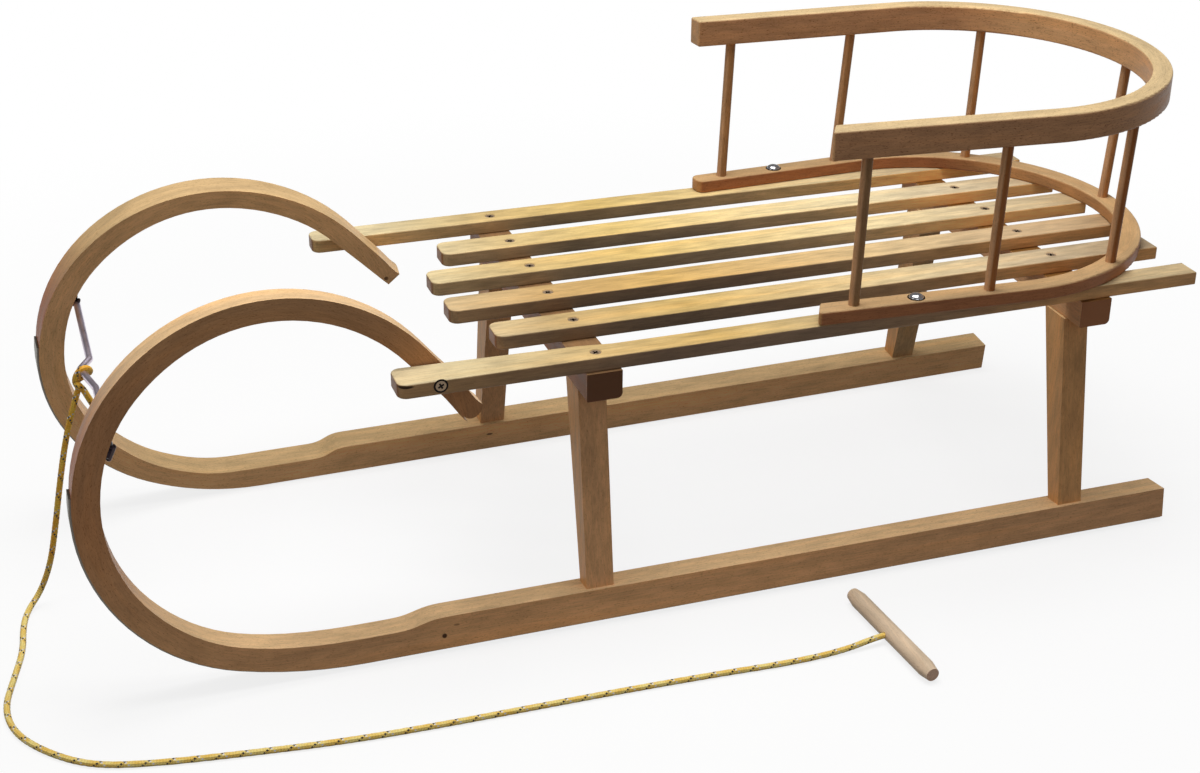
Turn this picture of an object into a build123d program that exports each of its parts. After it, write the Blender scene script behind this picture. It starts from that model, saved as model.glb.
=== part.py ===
from build123d import *
import os
from math import sin, cos, tan, pi, radians

# Horn sled in bent beech: two runners whose front ends curl up and back as horns, four splayed
# legs, two crossbars, six seat slats, a low and a high bent hoop on round spindles as backrest,
# a steel tow bracket between the horns, and a cord with a wooden grip.
# Millimetres. +X is forward, +Y is the sled's left, +Z is up. The origin is on the floor under
# the middle of the overall length. Pieces named left stand at +Y.

# ---------------------------------------------------------------- driving dimensions
overall_length = 1130.0      # rear of the backrest to the front of the horns
seat_height = 276.0          # floor to the top of the slats
joint_gap = 0.15             # clearance round tenons, dowels and pins
seat_gap = 0.3               # clearance of a curved or bent piece over its seat

slat_thickness = 14.0
slat_setback = 28.0          # rear ends of the slats ahead of the backrest's rear
slat_width = 33.5            # four inner slats
outer_slat_widths = (26.0, 28.7)          # left and right, at the rear
front_widening = (4.3, 10.7)               # of the left one, at the front crossbar and at its tip
seat_width = 377.0           # over the outer faces of the outer slats
slat_pitch = 68.0            # centre to centre of the inner slats
slat_corner = 9.0            # rounded front corners
slat_easing = 1.5            # rounding along the top and bottom edges
front_screw_lead = (3.5, 0.0, 3.0, 0.0, 0.0, 0.0)      # ahead of the bar's middle, left to right
countersink_width = 11.5
screw_shank = 5.0

rear_overhang = 100.0        # of the slats behind the rear crossbar
front_overhang = (171.0, 62.0, 87.0, 86.0, 57.5, 173.5)        # before the front one, left to right
front_bar_setback = 453.0    # of its front face behind the front of the horns
bar_depth = 34.0
bar_height = 27.5
bar_length = 384.0
bar_rear_rounding = 5.0      # lower rear edge
bar_front_rounding = 1.5     # lower front edge

track = 400.0                # over the runners at the floor, at the front crossbar
frame_lean = 6.5             # degrees that each side frame leans in at its top
frame_toe = 0.7              # degrees that the runners open towards the rear
runner_width = 30.0
runner_height = 32.0         # wood, behind the shoulder
runner_setback = 12.0        # rear end of the runners ahead of the rear ends of the slats
strip_thickness = 2.0
strip_width = 24.0
strip_end_turn = 97.0        # degrees of bend at which the strip stops

# Each horn is bent by hand, so left and right differ a little. Three tangent bends of its outer
# line, as radius and angle reached, then a straight tail; left horn first.
horn_bends = (((428.0, 15.3), (171.1, 133.0), (178.5, 230.3)),
              ((247.0, 27.4), (173.8, 191.0), (193.2, 228.0)))
horn_tail = (85.3, 68.8)
horn_end_skew = (0.0, 7.0)  # its outer side is longer than its inner side by this much
# how far inside the runner's line the lean and toe of the frame and a clearance bring the horn
# where it passes the outer slat; the horn sways in by the rest of the way to the slat's inner side
horn_drift = (21.7, 30.8)
sway_turn = 100.0            # degrees of bend at which it starts to lean in
sway_length = 420.0          # from there to the slat, along the horn
# thickness of the wood at these angles of bend, even change between
thickness_turns = (0, 15, 50, 93, 130, 180, 228)
horn_thicknesses = ((24.9, 22.3, 23.0, 23.7, 22.4, 19.8, 20.9),
                    (22.8, 19.6, 23.2, 23.6, 21.1, 18.3, 18.8))
horn_end_thickness = (20.7, 15.5)
horn_end_rounding = (9.0, 2.0)
shoulder_length = (50.0, 35.0)             # slope between the full height and the horn's foot
shoulder_setback = 268.0     # of the slope's front end behind the front of the horns

leg_depth = 27.0             # along the sled
leg_setback = (1.0, -3.0)    # of the leg's front behind the crossbar's, front and rear
leg_foot_width = 20.0
leg_foot_inset = 5.0         # in from the runner's outer face
leg_head_width = 37.0
leg_head_outer = 162.3       # from the middle of the sled to the leg's outer face, at the bar
foot_tenon = (19.0, 12.0, 14.0)            # along the sled, across, deep
head_tenon = (18.0, 16.0, 14.0)
head_tenon_setback = 13.5    # of its middle behind the crossbar's front face

# backrest: each bent hoop is an arc with two straight arms, and sits a little skew
lower_hoop_radius = 202.0    # outer
lower_hoop_width, lower_hoop_height = 22.3, 13.7
lower_hoop_setback = 11.8    # its rear ahead of the upper hoop's
lower_hoop_offset = 0.8       # its middle to the left of the sled's
lower_hoop_turn = 0.1        # degrees, left side forward
lower_hoop_taper = 3.2       # degrees that each arm closes in towards its front end
lower_arm_reach = (431.5, 414.5)           # from its rear to the arm's end, left and right
lower_end_rounding = (3.5, 8.0)
lower_spindle_distance = (190.0, 346.5, 487.5)      # from its rear, along its middle line
lower_spindle_offset = 7.0    # of all its spindles, forward on the left and back on the right
upper_hoop_radius = 200.4
upper_hoop_width, upper_hoop_height = 20.3, 28.0
upper_hoop_offset = 1.7
upper_hoop_turn = 3.0
upper_hoop_taper = 1.5
upper_arm_reach = (438.0, 424.5)
upper_end_rounding = (2.5, 2.5)
upper_spindle_distance = (199.0, 350.5, 491.5)
middle_spindle_offset = (3.0, -12.0)       # its foot and head, to the left of the hoops' rear
backrest_height = 464.0      # floor to the top of the upper hoop
arm_end_cut = (27.0, 9.0)    # degrees that an arm's end is off square, its outer side longer
hoop_easing = 2.0
spindle_diameter = 10.5
lower_tenon_depth = 9.0
upper_tenon_depth = 14.0

bracket_rod = 6.5
bracket_turn = (112.5, 116.0)              # degrees of bend where it sits, left and right
bracket_kink = 10.0          # how far the kink stands forward
bracket_kink_offset = -3.0    # its point to the left of the sled's middle
bracket_kink_reach = (40.0, 18.0)          # from its point to its left and right ends
bracket_bend = 5.0
bracket_plate = (12.0, 20.0, 3.0)          # along the horn, across it, thick
bracket_plate_rounding = 5.5
bracket_gap = 0.6            # clearance of its flat ends over the horns' hollow faces

cord_diameter = 6.0
toggle_diameter = 17.0
toggle_length = 147.0
toggle_tip = 13.0            # diameter of its ends
toggle_taper = 12.0          # length of each tapered end
toggle_middle = (-150.0, 316.0)
toggle_angle = 93.6          # degrees from +X
toggle_bore_depth = 11.0
cord_end_gap = 1.0           # between the cord's end and the bottom of the bore
knot_size = 16.0             # diameter of the knot's body, where the cord leaves it
knot_rise = 5.0              # of its middle above the cord's first point

# the cord's route, from the knot on the bracket down to the floor and back to the grip
cord_route = [
    (535.0, -2.0, 226.0), (544.5, -1.5, 202.0), (554.5, -1.5, 166.0), (563.0, -2.0, 126.0),
    (571.0, -3.0, 84.0), (579.5, -5.0, 44.0), (591.5, -9.0, 13.0), (606.0, 6.0, 3.0),
    (612.0, 33.5, 3.0), (615.0, 73.5, 3.0), (626.0, 115.0, 3.0), (637.0, 158.0, 3.0),
    (632.0, 198.0, 3.0), (609.0, 234.5, 3.0), (575.5, 265.0, 3.0), (527.5, 279.5, 3.0),
    (452.0, 291.5, 3.0), (366.0, 303.0, 3.0), (281.5, 307.5, 3.0), (198.0, 309.5, 3.0),
    (113.5, 312.0, 3.0), (30.0, 316.0, 3.0), (-44.5, 321.5, 3.0), (-98.5, 320.0, 3.2),
]

# ---------------------------------------------------------------- derived places
rear_x = slat_setback - overall_length / 2
slat_top = seat_height
slat_bottom = seat_height - slat_thickness
bar_bottom = slat_bottom - bar_height
runner_rear_x = rear_x + runner_setback
lean = radians(frame_lean)
strip_inset = (runner_width - strip_width) / 2
# height of the sole line on the outer face: the strip's inner edge is what stands on the floor
sole_rise = (runner_width - strip_inset) * sin(lean)
bar_rear_x = rear_x + rear_overhang + bar_depth
bar_front_x = overall_length / 2 - front_bar_setback
bar_x = [bar_front_x, bar_rear_x]          # of the crossbars' front faces
shoulder_front_x = overall_length / 2 - shoulder_setback
lower_hoop_top = slat_top + lower_hoop_height
upper_hoop_bottom = backrest_height - upper_hoop_height


def left_frame(shape):
    """Place a piece drawn in the left side frame's own axes: x as in the sled, y = 0 on the
    sole line, opened by the toe angle about the front crossbar."""
    place = Pos(bar_front_x, track / 2, 0) * Rot(0, 0, -frame_toe) * Pos(-bar_front_x, 0, 0)
    return place * shape


side_plane = Plane(origin=(0, 0, sole_rise), x_dir=(1, 0, 0), z_dir=(0, -cos(lean), -sin(lean)))


def side_point(x, up, inward):
    """Point of the side frame: up along its leaning plane, inward through its thickness."""
    return Vector(x, -up * sin(lean) - inward * cos(lean),
                  sole_rise + up * cos(lean) - inward * sin(lean))


class Horn:
    """Outline of one horn in its side frame's plane; side 0 is left and 1 is right."""

    def __init__(self, side):
        (foot_radius, foot_turn), (front_radius, _), _ = horn_bends[side]
        self.bends = horn_bends[side]
        self.end_turn = self.bends[-1][1]
        self.start_x = (overall_length / 2 - strip_thickness
                        - foot_radius * sin(radians(foot_turn))
                        - front_radius * (1 - sin(radians(foot_turn))))
        self.tail = horn_tail[side]
        self.end_skew = horn_end_skew[side]
        self.end_thickness = horn_end_thickness[side]
        self.sway = (track - seat_width) / 2 + outer_slat_widths[side] - horn_drift[side]
        self.thicknesses = horn_thicknesses[side]

    def point(self, turn, depth):
        """Point at a given angle of bend, at a depth inside the wood's outer line."""
        radius, joint = self.bends[0]
        centre = Vector(self.start_x, strip_thickness + radius)
        for next_radius, next_joint in self.bends[1:]:
            if turn > joint:
                a = radians(joint)
                centre += Vector(sin(a), -cos(a)) * (radius - next_radius)
                radius = next_radius
            joint = next_joint
        a = radians(turn)
        return centre + Vector(sin(a), -cos(a)) * (radius - depth)

    def thickness(self, turn):
        """Thickness of the wood, changing evenly from one measured place to the next."""
        places = list(zip(thickness_turns, self.thicknesses))
        for (a, at_a), (b, at_b) in zip(places[:-1], places[1:]):
            if turn <= b:
                return at_a + (at_b - at_a) * (1 - cos(pi * (turn - a) / (b - a))) / 2
        return self.thicknesses[-1]

    def arcs(self, turns, depth):
        """Arcs through the points at the given angles, at one depth."""
        lines = []
        for a, b in zip(turns[:-1], turns[1:]):
            lines.append(ThreePointArc(*[self.point(t, depth) for t in (a, (a + b) / 2, b)]))
        return lines

    def inner_line(self):
        """Smooth line along the inside of the bend, from where the sway starts to the foot."""
        steps = 20
        turns = [sway_turn * (steps - i) / steps for i in range(steps + 1)]
        return Spline(*[self.point(t, self.thickness(t)) for t in turns])

    def end_corner(self, depth, side, rounding):
        """What a rounding takes off a corner of the tail's end; side is +1 towards the inside."""
        a = radians(self.end_turn)
        tail, inward = Vector(cos(a), sin(a)), Vector(-sin(a), cos(a)) * side
        corner = self.point(self.end_turn, depth) + tail * (self.tail + self.end_skew / 2)
        middle = corner + (inward - tail) * rounding
        past = rounding + self.end_skew + 1
        waste = Polyline(middle, middle + tail * past, middle + (tail - inward) * past,
                         middle - inward * past, close=True)
        face = side_plane * (make_face(waste) - Pos(middle) * Circle(rounding))
        return extrude(Pos(-side_plane.z_dir * runner_width) * face, amount=3 * runner_width)

    def section(self, turn, along_tail=0.0, skew=0.0):
        """Cross-section of the swaying part: a four-cornered face square to the horn."""
        a = radians(turn)
        tail = Vector(cos(a), sin(a))
        length = self.bends[-1][0] * radians(turn - sway_turn) + along_tail
        sway = self.sway * (length / sway_length) ** 2
        deep = self.thickness(turn)
        deep += (self.end_thickness - deep) * along_tail / self.tail
        corners = []
        for depth, inward in ((0, 0), (deep, 0), (deep, runner_width), (0, runner_width)):
            spot = self.point(turn, depth) + tail * (along_tail + skew * (0.5 - inward / runner_width))
            corners.append(side_point(spot.X, spot.Y, inward + sway / cos(lean)))
        return make_face(Polyline(*corners, close=True))


# ---------------------------------------------------------------- runners
def make_runner(side):
    horn = Horn(side)
    turns = [0, horn.bends[0][1], sway_turn]
    foot_top = strip_thickness + horn.thickness(0)
    top = strip_thickness + runner_height
    shoulder_rear_x = shoulder_front_x - shoulder_length[side]
    middle_x = (shoulder_front_x + shoulder_rear_x) / 2
    outline = [Line((runner_rear_x, strip_thickness), (horn.start_x, strip_thickness))]
    outline += horn.arcs(turns, 0)
    outline.append(Line(horn.point(sway_turn, 0), horn.point(sway_turn, horn.thickness(sway_turn))))
    outline.append(horn.inner_line())
    outline.append(Line((horn.start_x, foot_top), (shoulder_front_x, foot_top)))
    outline.append(Bezier((shoulder_front_x, foot_top), (middle_x, foot_top),
                          (middle_x, top), (shoulder_rear_x, top)))
    outline.append(Polyline((shoulder_rear_x, top), (runner_rear_x, top),
                            (runner_rear_x, strip_thickness)))
    face = side_plane * make_face(Wire(sum((line.edges() for line in outline), [])))
    runner = extrude(face, amount=runner_width) + make_horn_top(horn, horn_end_rounding[side])
    runner = left_frame(runner)
    for bar in (0, 1):
        runner -= left_frame(foot_tenon_at(leg_x(bar), joint_gap))
    return runner


def make_horn_top(horn, end_rounding):
    """The top of the horn, which leans in a little more all the way to its end."""
    turns = [sway_turn + d for d in (0, 2, 6, 12, 20)]
    steps = 10
    turns += [turns[-1] + (horn.end_turn - turns[-1]) * (i + 1) / steps for i in range(steps)]
    sections = [horn.section(turn) for turn in turns]
    for share in (0.08, 0.3, 0.65, 1.0):
        sections.append(horn.section(horn.end_turn, horn.tail * share, horn.end_skew * share))
    top = loft(sections)
    for depth, side in ((0, 1), (horn.end_thickness, -1)):
        top -= horn.end_corner(depth, side, end_rounding)
    return top


def foot_tenon_at(x, gap=0.0):
    long, across, deep = foot_tenon
    middle = side_point(x, strip_thickness + runner_height, leg_foot_inset + leg_foot_width / 2)
    box = Box(long + 2 * gap, across + 2 * gap, 2 * (deep + gap))
    return Location(Plane(origin=middle, x_dir=(1, 0, 0), z_dir=(0, -sin(lean), cos(lean)))) * box


def leg_x(bar):
    return bar_x[bar] - leg_setback[bar] - leg_depth / 2


def make_strip(side):
    horn = Horn(side)
    turns = [0, horn.bends[0][1], strip_end_turn]
    outline = [Line((runner_rear_x, 0), (horn.start_x, 0))]
    outline += horn.arcs(turns, -strip_thickness)
    outline.append(Line(horn.point(strip_end_turn, -strip_thickness), horn.point(strip_end_turn, 0)))
    outline += horn.arcs(turns[::-1], 0)
    outline.append(Polyline((horn.start_x, strip_thickness), (runner_rear_x, strip_thickness),
                            (runner_rear_x, 0)))
    face = side_plane * make_face(Wire(sum((line.edges() for line in outline), [])))
    face = Pos(side_plane.z_dir * strip_inset) * face
    return left_frame(extrude(face, amount=strip_width))


# ---------------------------------------------------------------- legs
def make_leg(bar):
    top = strip_thickness + runner_height
    foot_outer = side_point(0, top, leg_foot_inset)
    foot_inner = side_point(0, top, leg_foot_inset + leg_foot_width)
    head_outer = leg_head_outer - track / 2
    corners = [(foot_outer.Y, foot_outer.Z), (foot_inner.Y, foot_inner.Z),
               (head_outer - leg_head_width, bar_bottom), (head_outer, bar_bottom)]
    face = Plane.YZ * make_face(Polyline(*corners, close=True))
    leg = Pos(leg_x(bar) - leg_depth / 2, 0, 0) * extrude(face, amount=leg_depth)
    # the tenons reach from inside the leg into the runner and the crossbar
    leg += foot_tenon_at(leg_x(bar))
    return left_frame(leg) + head_tenon_at(bar)


def head_tenon_at(bar, gap=0.0):
    long, across, deep = head_tenon
    x = bar_x[bar] - head_tenon_setback
    foot = left_frame(Pos(x, leg_head_outer - track / 2 - leg_head_width / 2, bar_bottom))
    box = Box(long + 2 * gap, across + 2 * gap, 2 * (deep + gap))
    return Pos(foot.position) * box


# ---------------------------------------------------------------- crossbars
def make_crossbar(bar):
    bar_box = Pos(bar_x[bar] - bar_depth / 2, 0, bar_bottom + bar_height / 2) \
        * Box(bar_depth, bar_length, bar_height)
    low = bar_box.edges().filter_by(Axis.Y).sort_by(Axis.Z)[:2].sort_by(Axis.X)
    bar_box = fillet(low[0], bar_rear_rounding)
    low = bar_box.edges().filter_by(Axis.Y).group_by(Axis.Z)[0].sort_by(Axis.X)[-1]
    bar_box = fillet(low, bar_front_rounding)
    cut = head_tenon_at(bar, joint_gap)
    return bar_box - cut - mirror(cut, about=Plane.XZ)


# ---------------------------------------------------------------- slats
def screw_hole(x, y):
    """Countersunk hole through a slat for a flat-head screw."""
    depth = (countersink_width - screw_shank) / 2
    cone = Pos(x, y, slat_top - depth / 2) * Cone(screw_shank / 2, countersink_width / 2, depth)
    shank = Pos(x, y, slat_bottom + slat_thickness / 2) * Cylinder(screw_shank / 2, slat_thickness)
    return cone + shank


def make_slat(left, right, overhang, screw_lead, widening):
    """Slat between its two sides; the right one may stand further out towards the front."""
    front_x = bar_front_x + overhang
    at_bar, at_tip = [right - w for w in widening]
    outline = Polyline((rear_x, left), (front_x, left), (front_x, at_tip),
                       (bar_front_x, at_bar), (bar_front_x - bar_depth, right), (rear_x, right),
                       close=True)
    slat = extrude(Pos(0, 0, slat_bottom) * make_face(outline), amount=slat_thickness)
    slat = fillet(slat.edges().filter_by(Axis.Z).group_by(Axis.X)[-1], slat_corner)
    slat = fillet(slat.faces().filter_by(Axis.Z).edges(), slat_easing)
    y = (left + right) / 2
    slat -= screw_hole(bar_front_x - bar_depth / 2 + screw_lead, y)
    return slat - screw_hole(bar_rear_x - bar_depth / 2, y)


# ---------------------------------------------------------------- backrest
class Hoop:
    """Bent hoop of the backrest: an arc closed by two straight arms."""

    def __init__(self, size, bottom, place, taper, reach, rounding):
        self.radius, self.width, self.height = size
        self.bottom = bottom
        setback, aside, turn = place
        self.place = Pos(setback + self.radius - overall_length / 2, aside, 0) * Rot(0, 0, -turn)
        self.taper = radians(taper)
        self.reach = reach
        self.rounding = rounding

    def arm_point(self, x, inset, side):
        """Point of an arm's line, inset from its outer face; side is +1 left and -1 right."""
        r = self.radius - inset
        return Vector(x, side * (r / cos(self.taper) - x * tan(self.taper)))

    def arm_start(self, inset, side):
        return self.arm_point((self.radius - inset) * sin(self.taper), inset, side)

    def arm_end(self, inset, side):
        """Corner of the arm's end, which is cut off a little askew."""
        i = 0 if side > 0 else 1
        x = self.reach[i] - self.radius
        skew = tan(radians(self.place.orientation.Z)) * side * self.radius
        return self.arm_point(x + skew + (self.width / 2 - inset) * tan(radians(arm_end_cut[i])),
                              inset, side)

    def line(self, inset):
        """Line of one face, from the left arm's end round to the right arm's end."""
        return [Line(self.arm_end(inset, 1), self.arm_start(inset, 1)),
                ThreePointArc(self.arm_start(inset, 1), (inset - self.radius, 0),
                              self.arm_start(inset, -1)),
                Line(self.arm_start(inset, -1), self.arm_end(inset, -1))]

    def body(self):
        lines = self.line(0) + self.line(self.width)
        for side in (1, -1):
            lines.append(Line(self.arm_end(0, side), self.arm_end(self.width, side)))
        face = make_face(Wire(sum((line.edges() for line in lines), [])))
        hoop = extrude(Pos(0, 0, self.bottom) * face, amount=self.height)
        for side, rounding in zip((1, -1), self.rounding):
            tip = self.arm_end(self.width / 2, side) + Vector(0, 0, self.bottom + self.height / 2)
            hoop = fillet(hoop.edges().filter_by(Axis.Z).sort_by_distance(tip)[:2], rounding)
        return self.place * fillet(hoop.faces().filter_by(Axis.Z).edges(), hoop_easing)

    def spot(self, along, z):
        """Point over the middle line, by distance from the rear; positive on the left."""
        r = self.radius - self.width / 2
        side = 1 if along > 0 else -1
        bend = r * (pi / 2 + self.taper)
        a = abs(along) / r
        point = Vector(-r * cos(a), side * r * sin(a))
        if abs(along) > bend:
            x = r * sin(self.taper) + (abs(along) - bend) * cos(self.taper)
            point = self.arm_point(x, self.width / 2, side)
        return (self.place * Pos(point.X, point.Y, z)).position


lower_hoop = Hoop((lower_hoop_radius, lower_hoop_width, lower_hoop_height), slat_top,
                  (lower_hoop_setback, lower_hoop_offset, lower_hoop_turn), lower_hoop_taper,
                  lower_arm_reach, lower_end_rounding)
upper_hoop = Hoop((upper_hoop_radius, upper_hoop_width, upper_hoop_height), upper_hoop_bottom,
                  (0, upper_hoop_offset, upper_hoop_turn), upper_hoop_taper,
                  upper_arm_reach, upper_end_rounding)


def spindle_lines():
    """Foot and head of the seven spindles, left front round to right front."""
    left, right = [], []
    for foot, head in zip(lower_spindle_distance, upper_spindle_distance):
        left.insert(0, (lower_spindle_offset + foot, head))
        right.append((lower_spindle_offset - foot, -head))
    return [(lower_hoop.spot(foot, lower_hoop_top), upper_hoop.spot(head, upper_hoop_bottom))
            for foot, head in left + [middle_spindle_offset] + right]


def spindle_rod(foot, head, gap=0.0):
    """Rod of a spindle with its tenons in both hoops."""
    line = (head - foot).normalized()
    start = foot - line * (lower_tenon_depth + gap)
    length = (head - foot).length + lower_tenon_depth + upper_tenon_depth + 2 * gap
    rod = Cylinder(spindle_diameter / 2 + gap, length, align=(Align.CENTER, Align.CENTER, Align.MIN))
    return Plane(origin=start, z_dir=line).location * rod


def make_hoop(hoop):
    body = hoop.body()
    for foot, head in spindle_lines():
        body -= spindle_rod(foot, head, joint_gap)
    return body


# ---------------------------------------------------------------- tow bracket
def bracket_seat(side, behind, inward):
    """Place behind a horn's rear face, on the left for side 0 and on the right for side 1."""
    turn = bracket_turn[side]
    horn = Horn(side)
    spot = horn.point(turn, horn.thickness(turn) + behind)
    seat = left_frame(Pos(side_point(spot.X, spot.Y, inward))).position
    return Vector(seat.X, -seat.Y if side else seat.Y, seat.Z)


def bracket_plate_at(side):
    """Flattened end of the bracket on one horn, with its screw hole."""
    long, across, thick = bracket_plate
    a = radians(bracket_turn[side])
    along = Vector(cos(a), -sin(a) * sin(lean), sin(a) * cos(lean))
    normal = along.cross(Vector(0, cos(lean), sin(lean)))
    horn = Horn(side)
    spot = horn.point(bracket_turn[side], horn.thickness(bracket_turn[side]) + bracket_gap + thick / 2)
    plate = Box(long, across, thick)
    plate = fillet(plate.edges().filter_by(Axis.Z), bracket_plate_rounding)
    plate -= Cylinder(screw_shank / 2, thick)
    origin = side_point(spot.X, spot.Y, runner_width / 2)
    plate = left_frame(Plane(origin=origin, x_dir=along, z_dir=normal).location * plate)
    return mirror(plate, about=Plane.XZ) if side else plate


def rod_end(side):
    behind = bracket_gap + bracket_rod / 2 + (runner_width - bracket_plate[1]) / 2 * sin(lean)
    return bracket_seat(side, behind, (runner_width + bracket_plate[1] - bracket_rod) / 2)


def bracket_middle():
    """Point of the kink before its bends are rounded."""
    left, right = rod_end(0), rod_end(1)
    share = (bracket_kink_offset - right.Y) / (left.Y - right.Y)
    return right + (left - right) * share + Vector(bracket_kink, 0, 0)


def bracket_path():
    """Middle line of the bracket's rod, from the right horn to the left one."""
    left, right = rod_end(0), rod_end(1)
    line = (left - right).normalized()
    foot = bracket_middle() - Vector(bracket_kink, 0, 0)
    return FilletPolyline(right, foot - line * bracket_kink_reach[1], bracket_middle(),
                          foot + line * bracket_kink_reach[0], left, radius=bracket_bend)


def bracket_rod_of(radius):
    path = bracket_path()
    return sweep(Plane(origin=path @ 0, z_dir=path % 0) * Circle(radius), path=path)


def make_bracket():
    return bracket_rod_of(bracket_rod / 2) + bracket_plate_at(0) + bracket_plate_at(1)


# ---------------------------------------------------------------- cord and grip
def toggle_place():
    return Pos(toggle_middle[0], toggle_middle[1], toggle_diameter / 2) * Rot(0, 0, toggle_angle)


def make_toggle():
    half, tip, big = toggle_length / 2, toggle_tip / 2, toggle_diameter / 2
    profile = Polyline((-half, 0), (-half, tip), (-half + toggle_taper, big),
                       (half - toggle_taper, big), (half, tip), (half, 0), close=True)
    body = revolve(make_face(profile), axis=Axis.X)
    bore = Pos(0, -big + toggle_bore_depth / 2, 0) * Rot(90, 0, 0) * Cylinder(
        cord_diameter / 2 + joint_gap, toggle_bore_depth)
    return toggle_place() * (body - bore)


def cord_radii(points):
    """As large an arc at each corner as its two runs allow."""
    radii = []
    for a, b, c in zip(points[:-2], points[1:-1], points[2:]):
        first, second = b - a, c - b
        shorter = min(first.length, second.length)
        radii.append(0.45 * shorter / tan(radians(first.get_angle(second)) / 2))
    return radii


def make_cord():
    # the last points bring the cord up to the bottom of the grip's bore
    entry = (toggle_place() * Pos(0, -toggle_diameter / 2 - cord_diameter, 0)).position
    depth = toggle_bore_depth - cord_end_gap
    bottom = (toggle_place() * Pos(0, depth - toggle_diameter / 2, 0)).position
    points = [Vector(*p) for p in cord_route] + [entry, bottom]
    radii = cord_radii(points)
    path = FilletPolyline(*points, radius=radii)
    tube = sweep(Plane(origin=path @ 0, z_dir=path % 0) * Circle(cord_diameter / 2), path=path)
    section = Circle(cord_diameter / 2).area
    print("cord radii", [round(r, 1) for r in radii])
    print("cord runs", [round((b - a).length, 1) for a, b in zip(points[:-1], points[1:])])
    print("cord length", round(path.length, 1), "volume ratio",
          round(tube.volume / (section * path.length), 4))
    return tube


def make_knot():
    """A turn of the cord round the bracket's kink, and the knot below it."""
    apex = bracket_path() @ 0.5
    turn_radius = bracket_rod / 2 + seat_gap + cord_diameter / 2
    start, following = Vector(*cord_route[0]), Vector(*cord_route[1])
    down = (following - start).normalized()
    knot = Pos(apex.X, 0, apex.Z) * Rot(90, 0, 0) * Torus(turn_radius, cord_diameter / 2)
    knot += Pos(start.X, start.Y, start.Z + knot_rise) * Sphere(knot_size / 2)
    knot -= bracket_rod_of(bracket_rod / 2 + joint_gap)
    bore = Cylinder(cord_diameter / 2 + joint_gap, knot_size,
                    align=(Align.CENTER, Align.CENTER, Align.MIN))
    return knot - Plane(origin=start - down * joint_gap, z_dir=down).location * bore


# ---------------------------------------------------------------- all pieces
pieces = {}
for side, hand in enumerate(("left", "right")):
    for name, shape in (("runner", make_runner(side)), ("runner_strip", make_strip(side)),
                        ("leg_front", make_leg(0)), ("leg_rear", make_leg(1))):
        pieces[f"{name}_{hand}"] = mirror(shape, about=Plane.XZ) if side else shape
pieces["crossbar_front"] = make_crossbar(0)
pieces["crossbar_rear"] = make_crossbar(1)
half = seat_width / 2
slat_rows = [(half, half - outer_slat_widths[0])]
for place in (1.5, 0.5, -0.5, -1.5):
    slat_rows.append((place * slat_pitch + slat_width / 2, place * slat_pitch - slat_width / 2))
slat_rows.append((outer_slat_widths[1] - half, -half))
for i, (left, right) in enumerate(slat_rows):
    widening = (0, 0) if i else front_widening
    pieces[f"slat_{i + 1}"] = make_slat(left, right, front_overhang[i], front_screw_lead[i], widening)
pieces["back_hoop_lower"] = make_hoop(lower_hoop)
pieces["back_hoop_upper"] = make_hoop(upper_hoop)
for i, (foot, head) in enumerate(spindle_lines(), 1):
    pieces[f"spindle_{i}"] = spindle_rod(foot, head)
pieces["tow_bracket"] = make_bracket()
pieces["tow_cord"] = make_cord()
pieces["cord_knot"] = make_knot()
pieces["tow_toggle"] = make_toggle()

os.makedirs("parts", exist_ok=True)
for name, shape in pieces.items():
    export_step(shape, f"parts/{name}.step")
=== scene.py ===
import math
import bpy
import bmesh
from mathutils import Matrix, Vector
from mathutils.kdtree import KDTree


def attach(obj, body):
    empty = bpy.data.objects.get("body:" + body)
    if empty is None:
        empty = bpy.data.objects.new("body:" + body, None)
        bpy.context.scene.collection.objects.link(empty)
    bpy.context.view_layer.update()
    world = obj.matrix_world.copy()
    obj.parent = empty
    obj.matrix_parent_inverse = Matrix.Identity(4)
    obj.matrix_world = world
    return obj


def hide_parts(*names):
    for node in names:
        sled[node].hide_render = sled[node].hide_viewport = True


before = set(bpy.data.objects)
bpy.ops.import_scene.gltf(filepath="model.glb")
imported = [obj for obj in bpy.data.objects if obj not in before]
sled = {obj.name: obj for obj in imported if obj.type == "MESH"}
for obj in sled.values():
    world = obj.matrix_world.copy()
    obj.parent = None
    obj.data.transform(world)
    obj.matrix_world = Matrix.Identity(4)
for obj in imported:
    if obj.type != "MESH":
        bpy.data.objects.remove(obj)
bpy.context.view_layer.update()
scene = bpy.context.scene


def show(name, data):
    """An object that shows a mesh, curve, camera or lamp."""
    piece = bpy.data.objects.new(name, data)
    scene.collection.objects.link(piece)
    return piece


# ------------------------------------------------------------------ camera
def make_camera():
    """The camera, solved from the sled's straight edges and bends."""
    camera = show("camera", bpy.data.cameras.new("camera"))
    right = Vector((-0.9315, 0.3629, 0.0251)).normalized()
    forward = Vector((-0.3385, -0.8396, -0.4249))
    forward = (forward - right * forward.dot(right)).normalized()
    up = right.cross(forward)
    turn = Matrix((right, up, -forward)).transposed().to_4x4()
    camera.matrix_world = Matrix.Translation((0.6211, 1.6671, 1.0288)) @ turn
    camera.data.lens = 58.21
    camera.data.shift_x = -0.0641
    camera.data.shift_y = -0.0370
    scene.camera = camera


make_camera()

# ------------------------------------------------------------------ cord
CORD_DIAMETER = 0.006
CORD_FINENESS = 24        # rings to each of the route's points
BRAID_PITCH = 0.020       # metres for one turn of a marked strand
STRANDS = 4               # strands each way round the rope
WEAVE_DEPTH = 0.0002      # half the depth between the strands
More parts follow.
